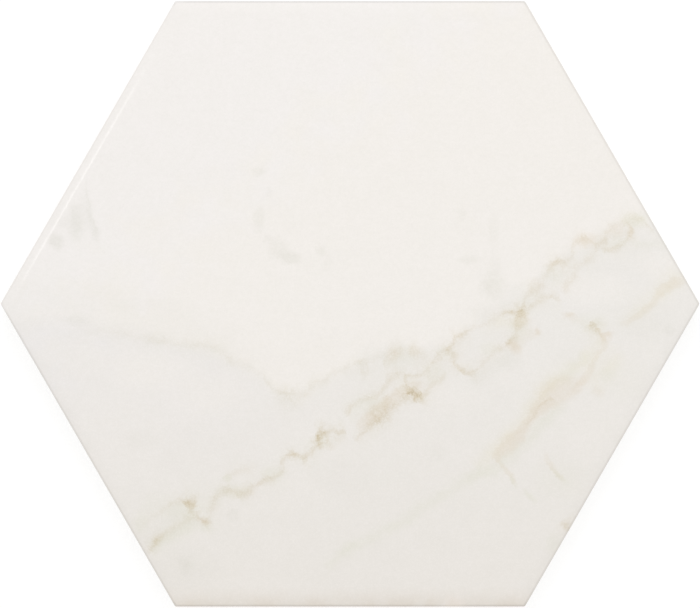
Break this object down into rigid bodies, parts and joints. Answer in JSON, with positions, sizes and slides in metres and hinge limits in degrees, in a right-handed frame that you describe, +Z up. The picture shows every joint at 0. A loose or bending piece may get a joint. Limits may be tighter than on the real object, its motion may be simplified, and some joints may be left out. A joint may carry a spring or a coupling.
{
  "type": "hexagon floor tile",
  "caption": "Hexagonal glazed porcelain floor tile with a white marble-look face, softly falling edges and a keyed back, laid with others of its size to cover a floor.",
  "frame": {"origin": "middle of the back, on the floor that the tile lies on", "axes": "+Z up through the glazed face; +X towards the corner at the picture's right; +Y square to a side, towards the picture's top"},
  "size_m": [0.1998, 0.1732, 0.009],
  "materials": {
    "glazed_porcelain": "satin white marble-look glaze on the face and its edges; unglazed pale body on the walls and back"
  },
  "bodies": {
    "root": {"tile": "glazed_porcelain"}
  },
  "joints": []
}
